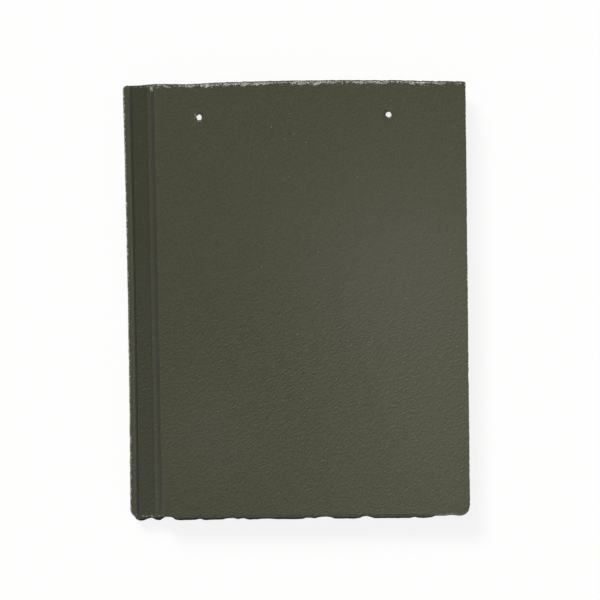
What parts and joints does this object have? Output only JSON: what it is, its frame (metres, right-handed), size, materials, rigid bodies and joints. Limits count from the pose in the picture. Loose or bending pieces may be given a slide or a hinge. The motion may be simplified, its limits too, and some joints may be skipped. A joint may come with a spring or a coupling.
{
  "type": "flat roof tile",
  "caption": "Flat interlocking concrete roof tile with an underlock channel down one side, a lipped overlock on the other, hanging nibs, weather bars and nail holes.",
  "frame": {"origin": "middle of the tile's outline, on the floor that the nibs and weather bars stand on", "axes": "+X across the roof, from the underlock to the overlock; +Y up the slope, from the tail to the head; +Z out of the face"},
  "size_m": [0.33, 0.427, 0.031],
  "materials": {
    "coated_concrete": "satin"
  },
  "bodies": {
    "root": {"roof_tile": "coated_concrete"}
  },
  "joints": []
}
